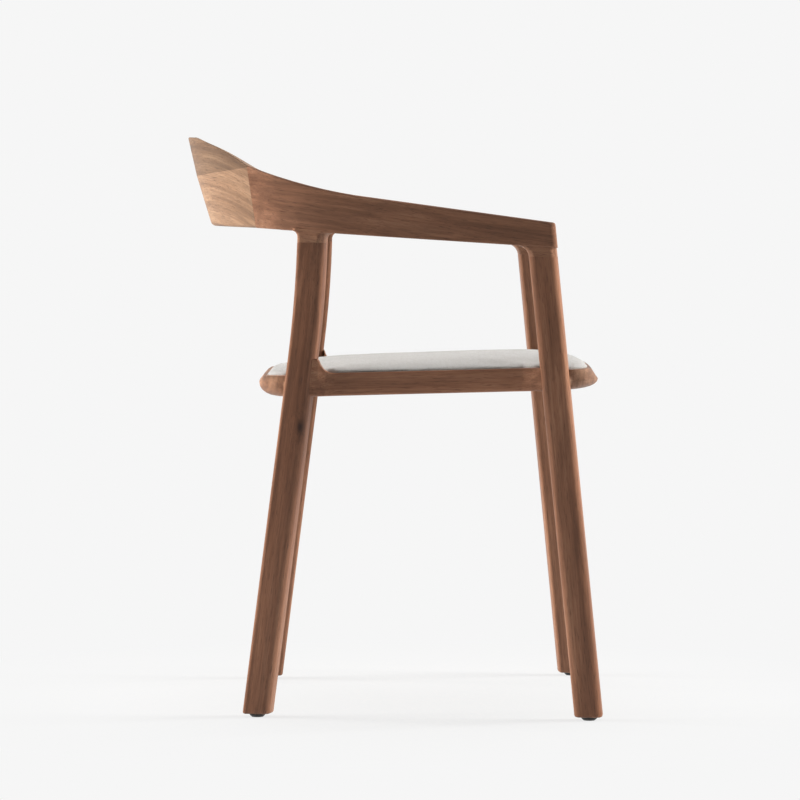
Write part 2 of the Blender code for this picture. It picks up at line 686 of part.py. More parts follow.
def nose_outline(leg_at, face_y, nose_y):
    """Outer edge of the front or rear rail, from the centre plane to inside a left leg."""
    forward = 1 if nose_y > face_y else -1
    side_x = leg_at.x + NOSE_SIDE
    corner_x = side_x - NOSE_CORNER
    corner_y = face_y + forward * NOSE_FILLET
    corner_run = nose_y - forward * NOSE_BULGE - corner_y
    outline = []
    for i in range(NOSE_STEPS + 1):
        x = corner_x * i / NOSE_STEPS
        outline.append(Vector((x, nose_y - forward * NOSE_BULGE * (x / corner_x) ** 2)))
    for i in range(1, NOSE_CORNER_STEPS + 1):
        angle = math.pi / 2 * i / NOSE_CORNER_STEPS
        outline.append(Vector((corner_x + NOSE_CORNER * math.sin(angle),
                               corner_y + corner_run * math.cos(angle))))
    for i in range(1, NOSE_FILLET_STEPS):
        angle = math.pi / 2 * i / NOSE_FILLET_STEPS
        outline.append(Vector((side_x + NOSE_FILLET * (1 - math.cos(angle)),
                               corner_y - forward * NOSE_FILLET * math.sin(angle))))
    outline.append(Vector((side_x + NOSE_FILLET, face_y - forward * NOSE_FILLET)))
    return outline


def nose_profile(run, height, upper):
    """Rounded underside up to the tip, then the upper points, as (run, height) pairs."""
    lower = []
    for i in range(NOSE_STEPS + 1):
        angle = math.pi / 2 * i / NOSE_STEPS
        lower.append((run * (1 - math.sin(angle) ** (2 / NOSE_POWER)),
                      height * (1 - math.cos(angle) ** (2 / NOSE_POWER))))
    return lower + upper


def make_end_rail(name, leg_at, nose_y, edge_y, profile):
    """Front or rear rail: a nosed board that runs into the legs' faces at its ends."""
    forward = 1 if nose_y > edge_y else -1
    half = nose_outline(leg_at, leg_at.y + forward * LEG_DEPTH / 2, nose_y)
    outline = [Vector((-p.x, p.y)) for p in reversed(half[1:])] + half
    widest = leg_at.x - LEG_THICK / 4
    rings = []
    for outer in outline:
        share = outer.x / half[-1].x
        inner = Vector((widest * share, edge_y))
        inward = (inner - outer).normalized()
        squeeze = min(1.0, (inner - outer).length * NOSE_SQUEEZE / profile[0][0])
        ring = [seat_point(*(outer + inward * run * squeeze), height) for run, height in profile]
        ring.append(seat_point(*inner, profile[-1][1]))
        ring.append(seat_point(*inner, 0))
        rings.append(ring)
    return loft(name, rings, WALNUT)


# Upholstered seat

PAD_START = max(RAIL_HEIGHT, REBATE_HEIGHT + PANEL_THICK + 2 * FIT)    # the crown rises from here


def pad_outline(inset=0.0):
    """Plan of the upholstered seat from the middle of its front edge, as points with their way inwards."""
    front = FRONT_NOSE_Y + FRONT_NOSE_TOP_RUN + LEG_GAP + NOSE_BULGE
    rear = REAR_NOSE_Y - REAR_NOSE_TOP_RUN - LEG_GAP - NOSE_BULGE
    half = pad_end(front, 1)
    half += [(Vector((pad_half_width(y), y)), Vector((-1, 0))) for y in notch_stations()]
    half += reversed(pad_end(rear, -1))
    outline = half + [(Vector((-p.x, p.y)), Vector((-way.x, way.y))) for p, way in reversed(half[1:-1])]
    return shrink(outline, inset)


def pad_end(edge, inward):
    """The front or rear edge of the seat from the centre plane round its left corner."""
    straight = pad_half_width(edge + inward * PAD_CORNER) - PAD_CORNER
    end = []
    for i in range(PAD_EDGE_STEPS):
        share = i / PAD_EDGE_STEPS
        swell = inward * NOSE_BULGE * (1 - share ** 2)
        end.append((Vector((straight * share, edge - swell)), Vector((0, inward))))
    for i in range(PAD_CORNER_STEPS + 1):
        angle = math.pi / 2 * i / PAD_CORNER_STEPS
        way = Vector((-math.sin(angle), inward * math.cos(angle)))
        centre = Vector((straight, edge + inward * PAD_CORNER))
        end.append((centre - way * PAD_CORNER, way))
    return end


def shrink(outline, inset):
    return [(point + way * inset, way) for point, way in outline]


def pad_surface(outline, low, crown):
    """Rings from the lower edge of the pad up its sides to near the middle of its crown."""
    middle = Vector((0, (FRONT_AT_SEAT.y + REAR_AT_SEAT.y) / 2))
    rings = [[seat_point(*p, low) for p, way in shrink(outline, PAD_DRAW_IN)],
             [seat_point(*p, blend(low, PAD_START, 0.5)) for p, way in shrink(outline, PAD_DRAW_IN / 2)]]
    for ring in range(PAD_RINGS + 1):
        share = ring / PAD_RINGS
        rise = SHOULDER_RISE * (1 - (1 - share) ** SHOULDER_POWER)
        points = []
        for point, way in outline:
            shoulder = blend(SIDE_SHOULDER, END_SHOULDER, way.y ** 2)
            points.append(seat_point(*(point + way * shoulder * share), blend(PAD_START, crown, rise)))
        rings.append(points)
    for share in CROWN_SHARES:
        rise = blend(1.0, SHOULDER_RISE, (1 - share) ** 2)
        rings.append([seat_point(*blend(p.xy, middle, share), blend(PAD_START, crown, rise))
                      for p in rings[2 + PAD_RINGS]])
    return rings


def make_seat():
    """Plywood panel, foam and the cover drawn over both."""
    panel_low = REBATE_HEIGHT + FIT
    panel_top = panel_low + PANEL_THICK
    skin = COVER_THICK + FIT
    board = pad_outline(PAD_DRAW_IN + skin)
    board_rings = [[seat_point(*p, z) for p, way in board] for z in (panel_low, panel_top)]
    panel = loft("seat_panel", board_rings, PLYWOOD)
    outer = pad_surface(pad_outline(), panel_low, PAD_HEIGHT)
    inner = pad_surface(pad_outline(COVER_THICK), panel_low, PAD_HEIGHT - COVER_THICK)
    loft("seat_cover", list(reversed(inner)) + outer, FABRIC)
    room = COVER_THICK + FOAM_ROOM
    floor = panel_top + FIT
    foam = pad_surface(pad_outline(room), floor, PAD_HEIGHT - room)[2:]
    base = [[seat_point(*p, floor) for p, way in pad_outline(room + PAD_DRAW_IN)]]
    loft("seat_foam", base + foam, FOAM)
    return panel


# Loose tenons

def add_tenon(name, middle, along, across, up, depths, width, height, pieces, side):
    """A loose tenon and its mortise in each of the pieces it joins."""
    round_by = min(width, height) * TENON_ROUND
    back, on = depths
    loft(name, bar_rings(middle, along, across, up, back, on, width, height, round_by), BEECH, side)
    room = 2 * FIT
    rings = bar_rings(middle, along, across, up, back + FIT, on + FIT, width + room, height + room, round_by)
    tool = cutter(f"cut_{name}", rings, side)
    for piece in pieces:
        shape(piece, tool)


def add_stub_tenon(kind, leg, name, side, leg_object, arm):
    out, back = leg_axes(leg)
    depth = STUB_TENON_DEPTH
    lean = (leg_middle(leg, leg.joint_z + depth) - leg_middle(leg, leg.joint_z - depth)).normalized()
    add_tenon(f"arm_tenon_{kind}_{name}", leg_middle(leg, leg.joint_z), lean, out, back, (depth, depth),
              STUB_TENON_THICK, STUB_TENON_WIDTH, (leg_object, arm), side)


def add_back_tenons(name, side, arm, backrest):
    inward = (JOINT_INNER - CREASE_LOW).normalized()
    up = (CREASE_TOP - CREASE_LOW).normalized()
    middle = (CREASE_LOW + CREASE_TOP) / 2 + inward * BACK_TENON_INSET
    for level, sign in (("upper", 1), ("lower", -1)):
        add_tenon(f"back_tenon_{level}_{name}", middle + up * (sign * BACK_TENON_SPACING / 2), JOINT_NORMAL,
                  inward, up, (BACK_TENON_DEPTH, BACK_TENON_DEPTH), TENON_THICK, BACK_TENON_HEIGHT,
                  (arm, backrest), side)


def add_rail_tenons(kind, leg_at, name, side, leg_object, end_rail, side_rail):
    ahead = -1 if kind == "front" else 1
    x_axis, y_axis, up = Vector((1, 0, 0)), Vector((0, 1, 0)), Vector((0, 0, 1))
    depths = (TENON_DEPTH, TENON_DEPTH)
    end_at = seat_point(leg_at.x - LEG_THICK / 2, leg_at.y + ahead * END_TENON_SHIFT, TENON_LIFT)
    add_tenon(f"{kind}_rail_tenon_{name}", end_at, x_axis, y_axis, up, depths, TENON_THICK, TENON_HEIGHT,
              (leg_object, end_rail), side)
    face_y = leg_at.y - ahead * LEG_DEPTH / 2
    side_at = seat_point(leg_line(face_y) + SIDE_TENON_SHIFT, face_y, TENON_LIFT)
    add_tenon(f"side_rail_{kind}_tenon_{name}", side_at, y_axis, x_axis, up, depths, TENON_THICK, TENON_HEIGHT,
              (leg_object, side_rail), side)


# Corner blocks and screws

def add_screw(name, head, axis, length, pieces, side):
    """A countersunk screw from its head's outer face, and its hole in each piece."""
    tip = length - SCREW_RADIUS * 2
    profile = ((0.0, SCREW_HEAD_RADIUS), (SCREW_HEAD, SCREW_RADIUS), (tip, SCREW_RADIUS),
               (length, SCREW_RADIUS * POINT_SHARE))
    loft(name, turned_rings(head, axis, profile), STEEL, side)
    wide, slim = SCREW_HEAD_RADIUS + FIT, SCREW_RADIUS + FIT
    hole = ((-BLOCK_LEG, wide), (0.0, wide), (SCREW_HEAD + FIT, slim), (length + FIT, slim))
    tool = cutter(f"cut_{name}", turned_rings(head, axis, hole), side)
    for piece in pieces:
        shape(piece, tool)


def add_corner_block(kind, name, side, end_rail, side_rail, panel):
    """A glued block in a corner of the frame, screwed to both rails and up into the seat."""
    back = 1 if kind == "front" else -1
    edge = (FRONT_RAIL_EDGE if kind == "front" else REAR_RAIL_EDGE) + back * FIT
    slope = (REAR_AT_SEAT.x - FRONT_AT_SEAT.x) / (REAR_AT_SEAT.y - FRONT_AT_SEAT.y)
    wall = leg_line(edge) - LEG_THICK / 2 - RAIL_INSIDE - FIT

    def plan(a, b):
        """a away from the side rail, b away from the front or rear rail."""
        return wall + slope * back * b - a, edge + back * b

    corners = ((0, 0), (BLOCK_LEG, 0), (BLOCK_LEG, BLOCK_TIP), (BLOCK_TIP, BLOCK_LEG), (0, BLOCK_LEG))
    rings = [[seat_point(*plan(a, b), z) for a, b in corners] for z in (BLOCK_BASE, REBATE_HEIGHT)]
    block = loft(f"corner_block_{kind}_{name}", rings, BEECH, side)
    depth = BLOCK_LEG + BLOCK_TIP - BLOCK_SCREW_AT - SCREW_RECESS
    length = depth + FIT + BLOCK_SCREW_BITE
    to_end = seat_point(*plan(BLOCK_SCREW_AT, depth), BLOCK_SCREW_LIFT)
    add_screw(f"block_screw_{kind}_rail_{name}", to_end, Vector((0, -back, 0)), length,
              (block, end_rail), side)
    to_side = seat_point(*plan(depth, BLOCK_SCREW_AT), BLOCK_SCREW_LIFT)
    add_screw(f"block_screw_{kind}_side_{name}", to_side, Vector((1, 0, 0)), length,
              (block, side_rail), side)
    low = BLOCK_BASE + SCREW_RECESS
    to_seat = seat_point(*plan(SEAT_SCREW_AT, SEAT_SCREW_AT), low)
    add_screw(f"seat_screw_{kind}_{name}", to_seat, Vector((0, 0, 1)),
              REBATE_HEIGHT + FIT + SEAT_SCREW_BITE - low, (block, panel), side)


def make_end_rails():
    front = nose_profile(FRONT_NOSE_RUN, FRONT_NOSE_HEIGHT,
                         [FRONT_NOSE_TURN, (FRONT_NOSE_TOP_RUN, REBATE_HEIGHT)])
    rear = nose_profile(REAR_NOSE_RUN, REAR_NOSE_HEIGHT, [(REAR_NOSE_TOP_RUN, REBATE_HEIGHT)])
    return {"front": make_end_rail("front_rail", FRONT_AT_SEAT, FRONT_NOSE_Y, FRONT_RAIL_EDGE, front),
            "rear": make_end_rail("rear_rail", REAR_AT_SEAT, REAR_NOSE_Y, REAR_RAIL_EDGE, rear)}


def build():
    for obj in list(bpy.data.objects):
        bpy.data.objects.remove(obj)
    end_rails = make_end_rails()
    at_seat = {"front": FRONT_AT_SEAT, "rear": REAR_AT_SEAT}
    panel = make_seat()
    backrest = make_backrest()
    for name, side in SIDES.items():
        arm = make_arm(name, side)
        add_back_tenons(name, side, arm, backrest)
        side_rail = make_side_rail(name, side)
        for kind, leg in LEGS.items():
            leg_object = make_leg(kind, leg, name, side)
            trim = leg_cutter(kind, leg, name, side)
            shape(side_rail, trim)
            shape(end_rails[kind], trim)
            add_stub_tenon(kind, leg, name, side, leg_object, arm)
            add_rail_tenons(kind, at_seat[kind], name, side, leg_object, end_rails[kind], side_rail)
            add_corner_block(kind, name, side, end_rails[kind], side_rail, panel)
            make_glide(kind, leg, name, side, leg_object)


build()
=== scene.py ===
"""Looks of a walnut dining armchair: eased and grained wood, an upholstered seat, a studio and a camera.

Metres, +Z up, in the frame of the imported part. The sitter faces -Y and the sitter's right is -X.
"""

import math

import bmesh
import bpy
import numpy as np
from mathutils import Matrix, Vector


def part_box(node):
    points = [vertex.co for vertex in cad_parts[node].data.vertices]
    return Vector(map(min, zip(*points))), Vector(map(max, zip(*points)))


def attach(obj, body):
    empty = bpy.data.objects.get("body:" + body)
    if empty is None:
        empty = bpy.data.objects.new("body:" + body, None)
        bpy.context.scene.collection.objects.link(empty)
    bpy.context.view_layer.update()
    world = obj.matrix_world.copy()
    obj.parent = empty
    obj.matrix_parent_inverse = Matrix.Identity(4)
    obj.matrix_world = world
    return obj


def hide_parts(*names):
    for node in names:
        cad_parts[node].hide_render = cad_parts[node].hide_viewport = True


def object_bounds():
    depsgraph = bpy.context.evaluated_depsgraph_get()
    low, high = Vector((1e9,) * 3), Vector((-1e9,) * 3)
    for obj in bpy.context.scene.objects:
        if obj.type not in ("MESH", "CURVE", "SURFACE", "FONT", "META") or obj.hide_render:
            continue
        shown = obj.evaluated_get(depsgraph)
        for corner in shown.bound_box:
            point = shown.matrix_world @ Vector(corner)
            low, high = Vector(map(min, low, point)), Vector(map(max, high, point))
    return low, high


# Camera, which looks along +X at the sitter's right side
CAMERA_AT = (-5.7, -0.0033, 0.6295)
CAMERA_TILT = 2.344       # degrees down
CAMERA_PAN = 0.08         # degrees towards the front of the chair
CAMERA_LENS = 192.8       # mm, on a sensor of 36 mm

# Studio
WHITE = (1.0, 1.0, 1.0, 1.0)
BACKGROUND = 0.922        # level of the pale backdrop
AMBIENT = 0.10            # light that comes from all round
FLOOR_REACH = 14.0
FLOOR_COLOUR = (0.64, 0.64, 0.635, 1.0)
SHADOW_REACH = 0.75       # the floor shows shadows this far from the chair
SHADOW_FULL = 0.4         # without fading over this share of the way
SHADOW_SHARE = 0.22       # and this strongly
LIGHTS = {                # place, aim, width, height, power
    "rear_window": ((0.2, 3.2, 0.9), (0.0, 0.1, 0.55), 1.8, 2.0, 250.0),
    "front_window": ((0.25, -3.2, 1.2), (0.0, -0.1, 0.45), 1.5, 2.0, 215.0),
    "ceiling": ((0.8, 0.0, 3.2), (0.0, 0.0, 0.4), 2.4, 2.4, 46.0),
}

# Dark screen behind the camera, which keeps the side that faces it in shade
SCREEN_X = -6.3
SCREEN_WIDTH = 10.0
SCREEN_HEIGHT = 5.0
SCREEN_COLOUR = (0.02, 0.02, 0.02, 1.0)

# Shapes of the wooden pieces
WELD = 0.00002            # points closer than this are one
FLAT_ANGLE = 0.4          # degrees between faces that count as one flat
SHARP_ANGLE = 38.0        # an edge sharper than this is eased
EASED_EDGE = 0.0004       # by this much
EASED_STEPS = 2
FOLD_ANGLE = 3.0          # a long edge sharper than this stays crisp
FOLD_FACE = 0.00015       # between faces of at least this many square metres
EVEN_ANGLE = 16.0         # on an arm, neighbours within this many degrees share their shading
EVEN_STEPS = 8            # this many times over
FACING = 0.3              # a face looks to a side if its normal goes that way by more than this
GLUE_FILL = 0.0002        # each piece is this much fuller, which closes the glue lines
RAIL_ENDS = (             # where a side rail meets its legs, and how far it swells there
    (-0.1915, 0.002),
    (0.102, 0.0035),
)
RAIL_SWELL_RUN = 0.030    # length of the swell
RAIL_REACH = 0.004        # how far the rail runs on into the legs
NOSE_TOP = 0.0204         # what lies higher than this over the seat frame's underside has a lip
NOSE_LIPS = {             # where a rail's lip starts, and how far it rises
    "front_rail": (-0.215, 0.0045),
    "rear_rail": (0.1255, 0.0060),
}

# Boards: axis of the grain, how many bends it follows each way, and tint
WOOD = {
    "front_leg_left": (2, (1, 1), (0.95, 0.94, 0.93)),
    "front_leg_right": (2, (1, 1), (0.90, 0.87, 0.85)),
    "rear_leg_left": (2, (2, 2), (0.90, 0.89, 0.88)),
    "rear_leg_right": (2, (2, 2), (0.76, 0.72, 0.70)),
    "arm_left": (1, (5, 1), (0.94, 0.95, 0.95)),
    "arm_right": (1, (5, 1), (0.92, 0.93, 0.93)),
    "side_rail_left": (1, (1, 1), (1.05, 1.03, 1.00)),
    "side_rail_right": (1, (1, 1), (1.05, 1.02, 0.99)),
    "front_rail": (0, (1, 1), (0.80, 0.92, 1.00)),
    "rear_rail": (0, (1, 1), (1.28, 1.42, 1.48)),
    "backrest": (0, (4, 4), (0.93, 1.15, 1.18)),
}
FOLD_Z = 0.690            # painted shade falls on the backrest's upper rear facet, which lies above this height
FOLD_PAINTED_SHADE = 0.62         # and is darkened to this share of its tint, as painted shade

# Walnut. The scales are per metre, along the grain and twice across it.
CLOUD_SCALE = (2.2, 26.0, 26.0)
STREAK_SCALE = (5.0, 150.0, 150.0)
FIBRE_SCALE = (24.0, 700.0, 700.0)
PORE_SCALE = (60.0, 1500.0, 1500.0)
SWAY_SCALE = (3.0, 9.0, 9.0)
GRAIN_SWAY = 0.010        # how far the grain wanders
GRAIN_STEP = (0.37, 0.113, 0.071)     # from one piece's cut of timber to the next
RING_STRETCH = (0.05, 1.0, 0.55)
RING_HEART = (0.0, 0.09, 0.03)        # middle of the growth rings
RING_SPACING = 0.0062
WALNUT_TONES = (
    (0.0, (0.150, 0.063, 0.032)),
    (0.45, (0.300, 0.138, 0.076)),
    (0.75, (0.390, 0.192, 0.111)),
    (1.0, (0.480, 0.262, 0.160)),
)
RING_TONE = (0.130, 0.058, 0.032, 1.0)
FIBRE_TONE = (0.110, 0.048, 0.027, 1.0)
PORE_TONE = (0.060, 0.026, 0.015, 1.0)
KNOT_TONE = (0.040, 0.018, 0.011, 1.0)
KNOT_AT = (-0.2297, 0.117, 0.371)     # on the outer face of the right rear leg
KNOT_REACH = (0.012, 0.0045, 0.008)
KNOT_BEND = 0.006         # how far the grain bends round the knot

# Bare timber: light tone, dark tone and scale of its figure
BEECH = ((0.60, 0.42, 0.26), (0.46, 0.29, 0.16), (60.0, 60.0, 12.0))
PLYWOOD = ((0.66, 0.53, 0.36), (0.55, 0.41, 0.26), (90.0, 8.0, 160.0))
FLECK_FINENESS = 9        # its flecks are this much finer than its figure

# Seat. Heights are above the underside of the seat frame.
SEAT_Z = 0.4126           # that underside at y = 0
SEAT_SLOPE = 0.0288       # its fall towards the back
PAD_BASE = 0.0293         # the pad's crown rises from this height
PAD_VOXEL = 0.0045
PAD_LAP = 0.0012          # how far the fabric's sides stand proud of the CAD cover
PAD_START = 0.60          # height of the pad's crown before it swells, as a share
PAD_CAP = 0.010           # the most that the fabric may move
PAD_PRESSURE = 4.0
PAD_FRAMES = 20
STILL = 1e-9              # least movement that can be divided by
CROWN_SHARE = 0.97        # height of the finished crown, as a share of the CAD cover's
CROWN_EASE = 8.0          # and how much its middle flattens
RELAX_STEPS = 8
SKIRT_TOP = 0.0385        # the fabric's lower edge starts to turn under at this height
SKIRT_HEIGHT = 0.017      # runs down this far
SKIRT_TUCK = 0.0085       # turns in this far
SKIRT_DROP = 0.0022       # and is drawn down this far
PANEL_SHARE = 0.965       # size of the panel inside the fabric
PANEL_RIM = 0.012         # the pad laps round the panel's edge this far
PANEL_ROOM = 0.0090       # and is hollow this high above the panel's underside

# Fabric
THREAD_PITCH = 0.0021     # one over and one under of the weave
THREAD_WOBBLE = 0.0016
THREAD_TONES = ((0.535, 0.521, 0.498, 1.0), (0.590, 0.578, 0.555, 1.0))
YARN_TONE = (0.43, 0.405, 0.365, 1.0)
FLECK_TONE = (0.26, 0.235, 0.205, 1.0)
# painted shade where the threads dip under each other
WEAVE_PAINTED_SHADE = (0.32, 0.30, 0.27, 1.0)

# Steel and nylon, fresh and worn
STEEL_TONES = ((0.50, 0.50, 0.51, 1.0), (0.68, 0.67, 0.65, 1.0))
NYLON_TONES = ((0.022, 0.021, 0.020, 1.0), (0.060, 0.057, 0.054, 1.0))


# Shader nodes

def add(tree, kind, inputs=None, **settings):
    """A shader node. An input is a plain value, or the output that it is linked from."""
    node = tree.nodes.new("ShaderNode" + kind)
    for key, value in settings.items():
        setattr(node, key, value)
    for socket, value in (inputs or {}).items():
        if isinstance(value, bpy.types.NodeSocket):
            tree.links.new(value, node.inputs[socket])
        else:
            node.inputs[socket].default_value = value
    return node


def compute(tree, operation, *values):
    return add(tree, "Math", dict(enumerate(values)), operation=operation).outputs[0]


def compute_vector(tree, operation, *values, output="Vector"):
    return add(tree, "VectorMath", dict(enumerate(values)), operation=operation).outputs[output]


def weigh(tree, first, first_weight, second, second_weight):
    """Sum of two values, each times its weight."""
    return compute(tree, "ADD", compute(tree, "MULTIPLY", first, first_weight),
                   compute(tree, "MULTIPLY", second, second_weight))


def wave(tree, value, spacing):
    return compute(tree, "SINE", compute(tree, "MULTIPLY", value, 2 * math.pi / spacing))


def remap(tree, value, low, high, to_low=0.0, to_high=1.0):
    ranges = {"Value": value, "From Min": low, "From Max": high, "To Min": to_low, "To Max": to_high}
    return add(tree, "MapRange", ranges).outputs[0]


def mix(tree, factor, first, second, blend="MIX"):
    """A mix of two colours, which are the node's inputs 6 and 7."""
    inputs = {0: factor, 6: first, 7: second}
    return add(tree, "Mix", inputs, data_type="RGBA", blend_type=blend).outputs[2]


def noise(tree, at, scale, detail=3.0, roughness=0.55):
    inputs = {"Vector": compute_vector(tree, "MULTIPLY", at, scale), "Scale": 1.0,
              "Detail": detail, "Roughness": roughness}
    return add(tree, "TexNoise", inputs).outputs[0]


def ramp(tree, value, stops):
    node = add(tree, "ValToRGB", {0: value})
    elements = node.color_ramp.elements
    while len(elements) < len(stops):
        elements.new(0.5)
    for element, (at, colour) in zip(elements, stops):
        element.position = at
        element.color = (*colour, 1.0)
    return node.outputs[0]


def bump(tree, height, distance, strength):
    return add(tree, "Bump", {"Height": height, "Distance": distance, "Strength": strength}).outputs[0]


def own_place(tree):
    """Where a point lies on its own piece."""
    return add(tree, "TexCoord").outputs["Object"]


def make_finish(name, **constants):
    """A material with its shader and the values that are the same all over."""
    material = bpy.data.materials.new(name)
    material.use_nodes = True
    shader = material.node_tree.nodes["Principled BSDF"]
    for socket, value in constants.items():
        shader.inputs[socket.replace("_", " ")].default_value = value
    return material, material.node_tree, shader


def connect(tree, shader, **outputs):
    for socket, output in outputs.items():
        tree.links.new(output, shader.inputs[socket.replace("_", " ")])


# Materials

def knot_distance(tree):
    """Distance from the knot's heart, in its own radii."""
    position = add(tree, "NewGeometry").outputs["Position"]
    offset = compute_vector(tree, "SUBTRACT", position, KNOT_AT)
    scaled = compute_vector(tree, "DIVIDE", offset, KNOT_REACH)
    return compute_vector(tree, "LENGTH", scaled, output="Value")


def walnut():
    """Oiled walnut: clouds, streaks, growth rings, fibres and pores along the grain, and one knot."""
    material, tree, shader = make_finish("oiled_walnut", Specular_IOR_Level=0.45)
    grain = add(tree, "Attribute", attribute_name="grain").outputs["Vector"]
    knot = knot_distance(tree)
    bend = compute(tree, "MULTIPLY", remap(tree, knot, 0.0, 3.0, 1.0, 0.0), KNOT_BEND)
    sway = compute(tree, "MULTIPLY", noise(tree, grain, SWAY_SCALE, 2.0), GRAIN_SWAY)
    shift = add(tree, "CombineXYZ", {"Y": compute(tree, "ADD", bend, sway), "Z": sway}).outputs[0]
    flow = compute_vector(tree, "ADD", grain, shift)

    cloud = noise(tree, flow, CLOUD_SCALE, 3.0, 0.5)
    streak = noise(tree, flow, STREAK_SCALE, 4.0, 0.6)
    fibre = noise(tree, flow, FIBRE_SCALE, 3.0, 0.6)
    pore = noise(tree, flow, PORE_SCALE, 1.0, 0.5)
    ring_at = compute_vector(tree, "MULTIPLY", flow, RING_STRETCH)
    ring_reach = compute_vector(tree, "DISTANCE", ring_at, RING_HEART, output="Value")
    rings = remap(tree, wave(tree, ring_reach, RING_SPACING), -0.2, 1.0)

    figure = weigh(tree, cloud, 0.55, streak, 0.45)
    colour = ramp(tree, remap(tree, figure, 0.34, 0.66), WALNUT_TONES)
    colour = mix(tree, compute(tree, "MULTIPLY", rings, 0.28), colour, RING_TONE)
    colour = mix(tree, remap(tree, fibre, 0.38, 0.72, 0.0, 0.45), colour, FIBRE_TONE)
    pores = remap(tree, pore, 0.60, 0.70)
    colour = mix(tree, compute(tree, "MULTIPLY", pores, 0.60), colour, PORE_TONE)
    colour = mix(tree, remap(tree, knot, 0.4, 1.6, 0.85, 0.0), colour, KNOT_TONE)
    # the board's tint, with painted shade on the backrest's upper rear facet
    tint = add(tree, "Attribute", attribute_name="tint").outputs["Color"]
    colour = mix(tree, 1.0, colour, tint, "MULTIPLY")

    relief = weigh(tree, pores, -1.0, fibre, 0.5)
    connect(tree, shader, Base_Color=colour, Roughness=remap(tree, streak, 0.3, 0.7, 0.48, 0.60),
            Normal=bump(tree, relief, 0.00012, 0.6))
    return material


def bare_timber(name, light, dark, scale):
    """Unfinished pale timber with short, fine grain."""
    material, tree, shader = make_finish(name, Specular_IOR_Level=0.25)
    place = own_place(tree)
    broad = noise(tree, place, scale, 4.0)
    fleck = noise(tree, place, tuple(FLECK_FINENESS * axis for axis in scale), 2.0)
    colour = mix(tree, remap(tree, broad, 0.3, 0.7), (*light, 1.0), (*dark, 1.0))
    colour = mix(tree, remap(tree, fleck, 0.58, 0.72, 0.0, 0.35), colour, (*dark, 1.0))
    connect(tree, shader, Base_Color=colour, Roughness=remap(tree, fleck, 0.3, 0.7, 0.55, 0.7),
            Normal=bump(tree, fleck, 0.0001, 0.4))
    return material


def heather_weave():
    """Woven wool mix: pale threads over and under each other, painted shade where they dip under, and
    darker fibres spun in.
    """
    material, tree, shader = make_finish("heather_weave", Specular_IOR_Level=0.12,
                                         Sheen_Weight=0.25, Sheen_Roughness=0.6)
    place = own_place(tree)
    axes = add(tree, "SeparateXYZ", {0: place}).outputs
    wobble = compute(tree, "MULTIPLY", noise(tree, place, (180.0, 180.0, 180.0), 2.0), THREAD_WOBBLE)
    warp_at = compute(tree, "ADD", compute(tree, "ADD", axes["X"], axes["Z"]), wobble)
    weft_at = compute(tree, "ADD", compute(tree, "SUBTRACT", axes["Y"], axes["Z"]), wobble)
    over = compute(tree, "MULTIPLY", wave(tree, warp_at, THREAD_PITCH), wave(tree, weft_at, THREAD_PITCH))
    fleck = noise(tree, place, (620.0, 620.0, 620.0), 3.0, 0.65)
    yarn = noise(tree, place, (90.0, 260.0, 160.0), 3.0, 0.6)
    patch = noise(tree, place, (14.0, 14.0, 14.0), 2.0)

    colour = mix(tree, remap(tree, patch, 0.3, 0.7), *THREAD_TONES)
    colour = mix(tree, remap(tree, yarn, 0.45, 0.75, 0.0, 0.45), colour, YARN_TONE)
    colour = mix(tree, remap(tree, fleck, 0.56, 0.70, 0.0, 0.55), colour, FLECK_TONE)
    # painted shade where the threads dip under each other
    colour = mix(tree, remap(tree, over, 0.2, -1.0, 0.0, 0.18), colour, WEAVE_PAINTED_SHADE)
    height = weigh(tree, over, 0.4, fleck, 2.5)
    connect(tree, shader, Base_Color=colour, Roughness=remap(tree, fleck, 0.3, 0.7, 0.86, 0.98),
            Normal=bump(tree, height, 0.00080, 0.9))
    return material


def plated_steel():
    material, tree, shader = make_finish("plated_steel", Metallic=1.0)
    wear = noise(tree, own_place(tree), (600.0, 600.0, 900.0), 3.0)
    connect(tree, shader, Base_Color=mix(tree, wear, *STEEL_TONES),
            Roughness=remap(tree, wear, 0.3, 0.7, 0.25, 0.42))
    return material


def charcoal_nylon():
    material, tree, shader = make_finish("charcoal_nylon", Specular_IOR_Level=0.4)
    place = own_place(tree)
    texture = noise(tree, place, (2500.0, 2500.0, 2500.0), 2.0)
    scuff = noise(tree, place, (220.0, 220.0, 60.0), 3.0)
    colour = mix(tree, remap(tree, scuff, 0.45, 0.75), *NYLON_TONES)
    connect(tree, shader, Base_Color=colour, Roughness=remap(tree, scuff, 0.3, 0.7, 0.42, 0.62),
            Normal=bump(tree, texture, 0.00005, 0.5))
    return material


# Objects and meshes

def add_object(name, data):
    piece = bpy.data.objects.new(name, data)
    bpy.context.collection.objects.link(piece)
    return piece


def coat(mesh, material):
    """Gives a mesh one material in place of those it had."""
    mesh.materials.clear()
    mesh.materials.append(material)


def points_of(mesh):
    return np.array([vertex.co for vertex in mesh.vertices])


def apply_modifiers(obj):
    graph = bpy.context.evaluated_depsgraph_get()
    mesh = bpy.data.meshes.new_from_object(obj.evaluated_get(graph))
    obj.modifiers.clear()
    obj.data = mesh


def seat_height(point):
    """Height above the sloping underside of the seat frame, for a point or the columns of many."""
    return point[2] - SEAT_Z + SEAT_SLOPE * point[1]


# Wooden pieces

def ease_edges(work):
    """Rounds the sharp edges a little and keeps the long folds between facets crisp."""
    sharp = [edge for edge in work.edges
             if len(edge.link_faces) == 2 and edge.calc_face_angle() > math.radians(SHARP_ANGLE)]
    bmesh.ops.bevel(work, geom=sharp, offset=EASED_EDGE, segments=EASED_STEPS, profile=0.5,
                    affect="EDGES", clamp_overlap=True)
    for edge in work.edges:
        if len(edge.link_faces) != 2:
            continue
        way = edge.verts[1].co - edge.verts[0].co
        level = abs(way.z) < way.length / 2
        large = min(face.calc_area() for face in edge.link_faces) > FOLD_FACE
        edge.smooth = not (level and large and edge.calc_face_angle() > math.radians(FOLD_ANGLE))


